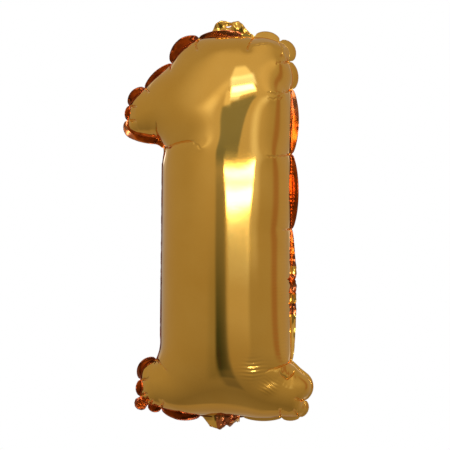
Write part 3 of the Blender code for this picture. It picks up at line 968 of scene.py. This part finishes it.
def camera():
    data = bpy.data.cameras.new("camera")
    data.sensor_width = SENSOR
    data.lens = SENSOR * VIEW_DISTANCE / VIEW_WIDTH
    obj = bpy.data.objects.new("camera", data)
    bpy.context.scene.collection.objects.link(obj)
    turn = math.radians(VIEW_AZIMUTH)
    centre = Vector(VIEW_CENTRE)
    obj.location = centre + VIEW_DISTANCE * Vector((math.sin(turn), -math.cos(turn), 0))
    obj.rotation_euler = (centre - obj.location).to_track_quat("-Z", "Y").to_euler()
    bpy.context.scene.camera = obj


def floor():
    place = (0, 0, FLOOR_HEIGHT)
    bpy.ops.mesh.primitive_circle_add(vertices=96, radius=FLOOR_RADIUS, fill_type="NGON", location=place)
    obj = bpy.context.object
    obj.name = "floor"
    made, _, shader = shader_of("pale_floor")
    shader.inputs["Base Color"].default_value = (0.75, 0.74, 0.72, 1)
    shader.inputs["Roughness"].default_value = 0.9
    obj.data.materials.append(made)
    obj.visible_glossy = False


camera()
studio_world()
floor()
bpy.context.scene.view_settings.view_transform = "Standard"

seam, stretch, along = seam_points()
gold = foil("gold_foil_skin", ((0.93, 0.48, 0.062), (0.97, 0.52, 0.078)), (0.055, 0.085), 30.0, 6.0, 0.05)
# Painted shade: the welds' dark red stands in for light bounced between the foil's faces, over the weld's
# own slightly redder tone; the darker one is a deeper painted shade.
welded = foil("welded_foil_painted_shade_skin", ((0.30, 0.06, 0.02), (0.60, 0.17, 0.03)), (0.12, 0.20), 7.0, 4.0, 0.06)
dark = foil("dark_weld_painted_shade_skin", ((0.20, 0.045, 0.02), (0.42, 0.10, 0.025)), (0.12, 0.20), 7.0, 4.0, 0.06)
clear = clear_film("clear_film_skin")

TAIL_END = NECK_TOP - TAIL_FOLD + TAIL_LENGTH
shape = film_shape(seam)
front = film_skin("front_film_skin", -1, shape)
back = film_skin("back_film_skin", 1, shape)
edge = 1 - 2 * TAIL_WELD / TAIL_WIDTH
ply = VALVE_WIDTH / TAIL_WIDTH
front_tail = tail_strip("tail_front_film_skin", -1, 1, -TAIL_APART, FILM, 0, TAIL_END)
back_tail = tail_strip("tail_back_film_skin", -1, 1, TAIL_APART, FILM, 0, TAIL_END)
left_weld = tail_strip("tail_left_weld_skin", -1, -edge, 0, TAIL_BOND, WELD_START, TAIL_END - TAIL_BOND)
right_weld = tail_strip("tail_right_weld_skin", edge, 1, 0, TAIL_BOND, WELD_START, TAIL_END - TAIL_BOND)
front_ply = tail_strip("tail_front_ply_skin", -ply, ply, -PLY_APART, PLY, 0, TAIL_END - VALVE_MOUTH)
back_ply = tail_strip("tail_back_ply_skin", -ply, ply, PLY_APART, PLY, 0, TAIL_END - VALVE_MOUTH)
tab = tab_skin()
valve_front = valve_skin("valve_front_ply_skin", -1)
valve_back = valve_skin("valve_back_ply_skin", 1)
PIECES = (
    (front, gold, "balloon", "gold_foil", ["front_film"]),
    (back, gold, "balloon", "gold_foil", ["back_film"]),
    (border_skin(seam, stretch, along), welded, "balloon", "welded_foil", ["border_weld"]),
    (tab, gold, "tab_fold", "welded_foil", ["hang_tab"]),
    (front_tail, gold, "tail_fold", "gold_foil", ["tail_front_film"]),
    (back_tail, gold, "tail_fold", "gold_foil", ["tail_back_film"]),
    (left_weld, welded, "tail_fold", "welded_foil", ["tail_left_weld"]),
    (right_weld, welded, "tail_fold", "welded_foil", ["tail_right_weld"]),
    (front_ply, clear, "tail_fold", "clear_valve_film", ["neck_front_ply", "tail_front_ply"]),
    (back_ply, clear, "tail_fold", "clear_valve_film", ["neck_back_ply", "tail_back_ply"]),
    (valve_front, clear, "valve", "clear_valve_film", ["valve_front_ply"]),
    (valve_back, clear, "valve", "clear_valve_film", ["valve_back_ply"]),
)
for obj, made, body, slot, nodes in PIECES:
    obj.data.materials.append(made)
    if "border" in obj.name:
        obj.data.materials.append(gold)
        obj.data.materials.append(dark)
    # the tail films' second slot is the neck's painted shade
    if "tail" in obj.name and made is gold:
        obj.data.materials.append(welded)
    if body == "tab_fold":
        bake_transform(obj)
    elif body == "tail_fold":
        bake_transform(obj)
    else:
        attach(obj, body)
    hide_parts(*nodes)
